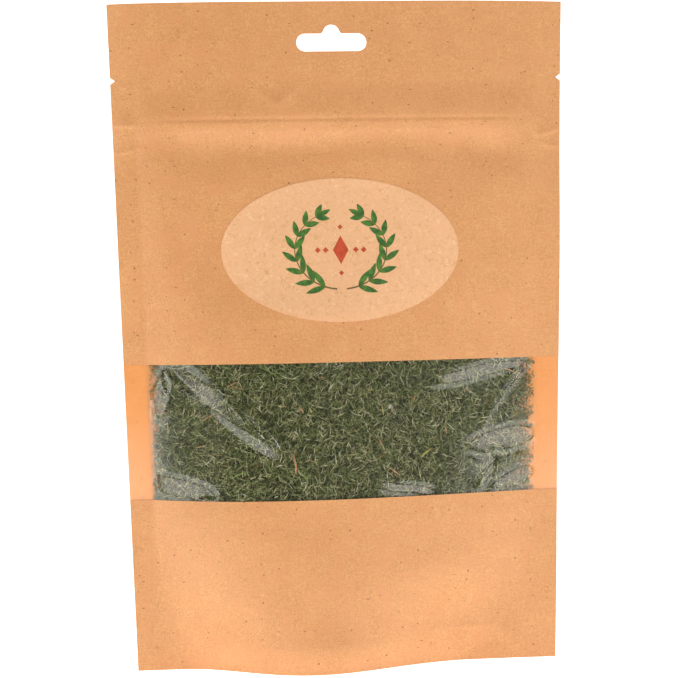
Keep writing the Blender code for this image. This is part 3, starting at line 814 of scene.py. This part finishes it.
# Dried dill, chopped: needle-fine leaf threads, dull olive, with some stalks and straw-coloured bits
dill = {
    "leafCount": 13000, "paleCount": 7500, "stemCount": 170,
    "leafLength": (1.5, 4.6), "leafWidth": (0.2, 0.4),
    "stemLength": (2.5, 6.0), "stemWidth": (0.35, 0.6),
    "layer": 2.6,  # depth behind the film in which the threads lie
    "seed": 5,
    # how far the heap stays off the side seals: left and low, more for left and high, right
    "bare": (0.8, 3.0, 2.6),
    "stray": 0.14,  # share of threads that lie nearer all the same
    "heapTop": 152, "heapDrop": 8,  # the heap's surface at its middle, and how far it falls to the sides
    "leafColours": ["#262c0a", "#42481a", "#4b5a24", "#62712f", "#7a7c46", "#969f66"],
    "paleColours": ["#74883e", "#a4ac6c", "#b8b280", "#e8e6b8"],
    "stemColours": ["#b08a52", "#c4a468", "#8f8a50", "#a06a38"],
    # the heap's colours: dill olive darkened with painted shade, for the shadow deep between the threads
    "heapShadeColours": ["#2b2c0c", "#33351a"],
    # bits that stand out: x, z, angle, length, width
    "tanBits": [(-23.4, 90.1, -85, 9.3, 1.1), (-19.8, 113.1, -61, 3.1, 0.9), (-59.2, 110.8, 31, 5.8, 0.5),
                (-55.4, 110.6, -54, 2.2, 0.8), (-49.1, 124.6, 25, 5.3, 0.5), (20, 85.5, -41, 5.3, 0.7),
                (73.2, 127.5, -24, 6, 0.6), (78.6, 125.6, -35, 4, 0.5)],
    "paleBits": [(-29.6, 89.6, 13, 3.3, 0.6), (-22.4, 103.4, -45, 2.5, 0.6), (-36, 96.2, -81, 3, 0.5),
                 (-45.2, 77.4, -27, 1.7, 0.5), (-56.1, 78, -83, 2, 0.4), (19.1, 113.5, 34, 2.2, 2.2)],
    "greenBits": [(-19, 84.1, -58, 5.6, 0.9), (-46.6, 86.1, 21, 7.8, 0.6), (-53.8, 125.8, -83, 4, 0.6),
                  (-44, 108.6, 56, 2.7, 0.6), (-32.5, 129, -32, 11.2, 0.5), (1.9, 114.6, -62, 5.9, 0.5),
                  (42.8, 103.8, 45, 5.7, 0.6)],
    "strawBits": [(-16, 112.9, -66, 2.5, 0.8), (1.5, 93.4, 6, 2.5, 0.6), (34.6, 93.1, 34, 5.8, 1.0),
                  (15.4, 112.2, -81, 4.6, 0.7), (-58.4, 111, 53, 3.8, 0.6)],
}


def herbMaterial(name, colours, roughness):
    material, tree, output = newMaterial(name)
    each = addNode(tree, "NewGeometry")
    count = len(colours)
    tone = addNode(tree, "ValToRGB", None, {"Fac": each.outputs["Random Per Island"]},
                   [(i / (count - 1), colour) for i, colour in enumerate(colours)])
    place = millimetres(tree)
    patches = addNode(tree, "TexNoise", None, {"Vector": place, "Scale": 1 / 1.2, "Detail": 2.0})
    value = addNode(tree, "MapRange", None, {"Value": patches.outputs["Fac"], "To Min": 0.7, "To Max": 1.3})
    colour = addNode(tree, "VectorMath", {"operation": "SCALE"},
                     {0: tone.outputs["Color"], "Scale": value.outputs[0]})
    shader = addNode(tree, "BsdfPrincipled", None,
                     {"Base Color": colour.outputs[0], "Roughness": roughness, "IOR": 1.4})
    tree.links.new(shader.outputs[0], output.inputs["Surface"])
    return material


def threadMesh(name, centres, headings, lengths, widths, bends, rolls, material):
    # three-sided threads in two stretches, each bent a little in its own plane
    count = len(lengths)
    t = np.array([-0.5, 0.08, 0.5])
    thickness = np.array([0.6, 1.0, 0.3])
    side = np.cross(headings, np.array([0.0, 1.0, 0.0]))
    side /= np.linalg.norm(side, axis=1, keepdims=True)
    up = np.cross(side, headings)
    bendWay = side * np.cos(rolls)[:, None] + up * np.sin(rolls)[:, None]
    curve = (0.25 - t**2) * 4
    spine = (centres[:, None, :] + headings[:, None, :] * (lengths[:, None] * t)[:, :, None]
             + bendWay[:, None, :] * (bends[:, None] * curve)[:, :, None])
    rings = []
    for angle in np.radians((90, 210, 330)):
        out = side * math.cos(angle) + up * math.sin(angle)
        rings.append(spine + out[:, None, :] * (widths[:, None] * thickness / 2)[:, :, None])
    points = np.stack(rings, 2).reshape(-1, 3)
    faces = []
    for ring in range(2):
        for corner in range(3):
            a, b = ring * 3 + corner, ring * 3 + (corner + 1) % 3
            faces.append([a, b, b + 3, a + 3])
    quads = np.array(faces)
    base = (np.arange(count) * 9)[:, None, None]
    quads = (base + quads).reshape(-1, 4)
    ends = np.array([[2, 1, 0], [6, 7, 8]])
    triangles = (base + ends).reshape(-1, 3)
    return newPiece(name, points, quads.tolist() + triangles.tolist(), [material])


def scatterThreads(name, count, lengthRange, widthRange, material, draw, nearFilm, tilt):
    # threads at random behind the window, the nearer to the film the higher nearFilm is
    placed = []
    while len(placed) < count:
        x = draw.uniform(-88, 88)
        z = draw.uniform(pouch["windowBottom"] - 3, pouch["windowTop"] + 3)
        away = sealEdge(z) - abs(x)
        bare = dill["bare"][0] + dill["bare"][1] * ease(z, 84, 120) if x < 0 else dill["bare"][2]
        bare += 0.9 * math.sin(z * 0.9 + 0.6 * math.sin(z * 0.31)) + 0.6 * math.sin(z * 2.3)
        if away < bare and (away < 0.8 or draw.uniform() > dill["stray"]):
            continue
        placed.append((x, z))
    x, z = np.array(placed).T
    inner = filmFace(x, z)
    room = np.maximum(0.05, backFace(x, z) - inner - 0.9)
    tight = np.clip(room / 4, 0.2, 1)
    lengths = draw.uniform(*lengthRange, count) * tight**0.5
    widths = draw.uniform(*widthRange, count)
    spin = draw.uniform(0, 2 * math.pi, count)
    lean = draw.normal(0, tilt, count) * tight
    depth = 0.35 + np.minimum(room * 0.6, draw.uniform(0, 1, count) ** nearFilm * dill["layer"])
    slopeX, slopeZ = slopesOf(frontFace, x, z)
    across, upward = np.cos(spin), np.sin(spin)
    headings = np.stack([across, across * slopeX + upward * slopeZ + lean, upward], -1)
    headings /= np.linalg.norm(headings, axis=1, keepdims=True)
    depth = depth + np.abs(lean) * lengths / 2
    bends = draw.normal(0, 0.035, count) * lengths
    rolls = draw.normal(0, 0.5, count)
    centres = np.stack([x, inner + depth, z], -1)
    piece = threadMesh(name, centres, headings, lengths, widths, bends, rolls, material)
    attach(piece, "root")
    return piece


def heapPiece(material):
    # the heap's mass behind the threads, coloured the dill's own olive darkened with painted shade
    across, upward = np.meshgrid(np.linspace(-0.9, 0.925, 116), np.linspace(0, 1, 92))
    low = foldLine(across) + 4
    high = dill["heapTop"] - dill["heapDrop"] * across**2
    z = low + (high - low) * upward
    x = crestToX(across, z)
    front, behind = frontFace(x, z), backFace(x, z)
    middle, deep = (front + behind) / 2, (behind - front) / 2
    rough = 0.5 * softNoise(31, x, z, 2.2) + 0.3 * softNoise(32, x, z, 1.1)
    inWindow = ease(z, 70, 76) * (1 - ease(z, 132, 138))
    inset = np.minimum(1.3 + inWindow * 1.4, 0.6 * deep) + np.abs(rough) * np.minimum(1, deep / 6)
    half = np.maximum(0.1, deep - inset)
    return sheetPiece("dillHeap", x, z, middle + half, middle - half, [material])


leafMaterial = herbMaterial("air-dried dill leaf, chopped", dill["leafColours"], 0.7)
heapMaterial = herbMaterial("air-dried dill, packed, with painted shade", dill["heapShadeColours"], 0.9)
draw = np.random.default_rng(dill["seed"])
heap = heapPiece(heapMaterial)
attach(heap, "root")
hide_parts("dill_fill")
for layerName in ("dillLeavesA", "dillLeavesB"):
    scatterThreads(layerName, dill["leafCount"], dill["leafLength"], dill["leafWidth"], leafMaterial, draw,
                   0.9, 0.16)
scatterThreads("dillPaleLeaves", dill["paleCount"], dill["leafLength"], dill["leafWidth"],
               herbMaterial("air-dried dill leaf, faded", dill["paleColours"], 0.65), draw, 1.6, 0.12)
scatterThreads("dillStalks", dill["stemCount"], dill["stemLength"], dill["stemWidth"],
               herbMaterial("air-dried dill stalk, chopped", dill["stemColours"], 0.6), draw, 1.5, 0.1)
for bits, look in (("tanBits", ["#c08450", "#e0b080"]), ("paleBits", ["#c9c8a8", "#d9d6bc"]),
                   ("greenBits", ["#7d9a4a", "#98a860"]), ("strawBits", ["#b8a850", "#d0c070"])):
    bitX, bitZ, bitAngle, bitLength, bitWidth = np.array(dill[bits]).T
    bitAngle = np.radians(bitAngle)
    slopeX, slopeZ = slopesOf(filmFace, bitX, bitZ)
    across, upward = np.cos(bitAngle), np.sin(bitAngle)
    heading = np.stack([across, across * slopeX + upward * slopeZ, upward], -1)
    heading /= np.linalg.norm(heading, axis=1, keepdims=True)
    middle = np.stack([bitX, filmFace(bitX, bitZ) + 0.25 + bitWidth / 2, bitZ], -1)
    piece = threadMesh("dill" + bits[0].upper() + bits[1:], middle, heading, bitLength, bitWidth,
                       0.05 * bitLength, bitAngle * 0,
                       herbMaterial("air-dried dill, " + bits[:-4] + " bits", look, 0.6))
    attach(piece, "root")
print("Dill made")

# Press-to-close zip: extruded polyethylene strips between the walls, one welded to each
zipLook = {"colour": "#e6e8e6", "roughness": 0.35, "bottom": 227.0, "top": 237.0, "halfLength": 79.0,
           "clear": 0.06, "thickest": 0.9}
zipMaterial, zipTree, zipOutput = newMaterial("extruded polyethylene zip")
dieLines = addNode(zipTree, "TexNoise", None,
                   {"Vector": millimetres(zipTree), "Scale": 1 / 0.8, "Detail": 1.0})
dieBump = addNode(zipTree, "Bump", None,
                  {"Strength": 0.2, "Distance": 0.02 * mm, "Height": dieLines.outputs["Fac"]})
zipShader = addNode(zipTree, "BsdfPrincipled", None,
                    {"Base Color": srgb(zipLook["colour"]), "Roughness": zipLook["roughness"], "IOR": 1.51,
                     "Normal": dieBump.outputs["Normal"]})
zipTree.links.new(zipShader.outputs[0], zipOutput.inputs["Surface"])
zipX, zipZ = np.meshgrid(np.linspace(-zipLook["halfLength"], zipLook["halfLength"], 121),
                         np.linspace(zipLook["bottom"], zipLook["top"], 13))
zipFront, zipBack = frontFace(zipX, zipZ) + zipLook["clear"], backFace(zipX, zipZ) - zipLook["clear"]
zipMiddle = (zipFront + zipBack) / 2
# a low bead and groove run along the meeting faces
fromMiddle = zipZ - (zipLook["bottom"] + zipLook["top"]) / 2
bead = 0.12 * np.cos(fromMiddle * math.pi) * ease(np.abs(fromMiddle), 3.6, 1.6)
for pieceName, near, far, nodeName, slotName in (
        ("zipFront", np.minimum(zipMiddle - 0.03 + bead, zipFront + zipLook["thickest"]), zipFront,
         "zip_strip_front", "zip_front"),
        ("zipBack", np.maximum(zipMiddle + 0.03 + bead, zipBack - zipLook["thickest"]), zipBack,
         "zip_strip_back", "zip_back")):
    strip = sheetPiece(pieceName, zipX, zipZ, near, far, [zipMaterial])
    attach(strip, "root")
    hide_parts(nodeName)
print("Zip made")

# Studio: a white sweep with painted glow, soft boxes and the camera
studio = {
    "floor": "#f6f6f4", "floorDeep": "#f4f4f2", "world": 0.12,
    # the table: half its width, its front edge, where it bends up, the bend's radius and its top
    "sweep": (2500, -4500, 700, 400, 2200),
    # the table's painted glow from front to back, a pool of light that lights the pouch though the table is
    # no lamp: distance along y, strength
    "glow": [(-1100, 0.12), (-500, 1.25), (40, 1.25), (330, 0.75)],
    "camera": {"place": (-83.3, -900.0, 172.9), "yaw": 5.178, "pitch": -1.902, "roll": -1.031,
               "lens": 109.69},
    "stripTint": (1, 0.92, 0.87),
    # name, place, target, size, radiance against a white card's 1
    "lights": [
        ("sideLeft", (-1150, -300, 300), (0, 0, 100), (450, 900), 2.7),
        ("sideRight", (1150, -300, 300), (0, 0, 100), (450, 900), 2.3),
        ("stripLeft", (-915, -831, 385), (-70, -15, 105), (480, 280), 3.0),
        ("stripRight", (720, -975, 400), (60, -15, 105), (480, 280), 3.0),
        ("snootLeft", (-559, -1047, 499), (-79, -15, 127), (160, 160), 2.5),
        ("snootRight", (271, -1131, 504), (67, -15, 114), (160, 160), 9.0),
        ("top", (0, -500, 1600), (0, -400, 0), (1800, 1200), 0.7),
        ("backdrop", (0, 350, 1500), (0, 1100, 500), (2400, 500), 0.3),
    ],
}


def sweepPiece():
    half, front, bend, radius, top = studio["sweep"]
    turns = np.radians(np.linspace(10, 80, 8))
    profile = [(front, 0), (bend, 0)]
    profile += [(bend + radius * math.sin(turn), radius - radius * math.cos(turn)) for turn in turns]
    profile += [(bend + radius, radius), (bend + radius, top)]
    points, faces = [], []
    for y, z in profile:
        points += [(-half, y, z), (half, y, z)]
    for i in range(len(profile) - 1):
        faces.append([2 * i, 2 * i + 1, 2 * i + 3, 2 * i + 2])
    material, tree, output = newMaterial("opal acrylic shooting table with painted glow")
    place = millimetres(tree)
    mottle = addNode(tree, "TexNoise", None, {"Vector": place, "Scale": 1 / 400, "Detail": 2.0})
    tone = addNode(tree, "ValToRGB", None, {"Fac": mottle.outputs["Fac"]},
                   [(0.3, studio["floorDeep"]), (0.7, studio["floor"])])
    along = addNode(tree, "SeparateXYZ", None, {0: place})
    first, last = studio["glow"][0][0], studio["glow"][-1][0]
    share = addNode(tree, "MapRange", None,
                    {"Value": along.outputs["Y"], "From Min": first, "From Max": last})
    lit = addNode(tree, "FloatCurve", None, {"Value": share.outputs[0]})
    curve = lit.mapping.curves[0]  # it holds half the strength, as its values end at 1
    for index, (at, strength) in enumerate(studio["glow"]):
        spot = ((at - first) / (last - first), strength / 2)
        if index in (0, len(studio["glow"]) - 1):
            curve.points[0 if index == 0 else -1].location = spot
        else:
            curve.points.new(*spot)
    lit.mapping.update()
    strength = addNode(tree, "Math", {"operation": "MULTIPLY"}, {0: lit.outputs[0], 1: 2.0})
    # the emission is painted light: the table glows as if lit from below, brightest just in front of the
    # pouch
    shader = addNode(tree, "BsdfPrincipled", None,
                     {"Base Color": tone.outputs["Color"], "Roughness": 0.9, "Emission Color": (1, 1, 1, 1),
                      "Emission Strength": strength.outputs[0]})
    tree.links.new(shader.outputs[0], output.inputs["Surface"])
    return newPiece("studioSweep", points, faces, [material])


def aimAt(thing, target):
    direction = Vector(target) * mm - thing.location
    thing.rotation_euler = direction.to_track_quat("-Z", "Y").to_euler()


sweepPiece()
for name, place, target, size, radiance in studio["lights"]:
    data = bpy.data.lights.new(name, "AREA")
    data.shape = "RECTANGLE"
    data.size, data.size_y = size[0] * mm, size[1] * mm
    data.energy = radiance * math.pi * data.size * data.size_y
    data.color = studio["stripTint"] if name.startswith("strip") else (1, 1, 1)
    lamp = bpy.data.objects.new(name, data)
    lamp.location = Vector(place) * mm
    aimAt(lamp, target)
    bpy.context.scene.collection.objects.link(lamp)
world = bpy.data.worlds.new("studio")
world.use_nodes = True
world.node_tree.nodes["Background"].inputs["Color"].default_value = (1, 1, 1, 1)
world.node_tree.nodes["Background"].inputs["Strength"].default_value = studio["world"]
bpy.context.scene.world = world

view = studio["camera"]
cameraData = bpy.data.cameras.new("camera")
cameraData.lens = view["lens"]
cameraData.sensor_width = 36
camera = bpy.data.objects.new("camera", cameraData)
yaw, pitch, roll = (math.radians(view[key]) for key in ("yaw", "pitch", "roll"))
camera.matrix_world = (Matrix.Translation(Vector(view["place"]) * mm) @ Matrix.Rotation(-yaw, 4, "Z")
                       @ Matrix.Rotation(math.pi / 2 + pitch, 4, "X") @ Matrix.Rotation(roll, 4, "Z"))
bpy.context.scene.collection.objects.link(camera)
bpy.context.scene.camera = camera
bpy.context.scene.view_settings.view_transform = "Standard"
print("Studio set")
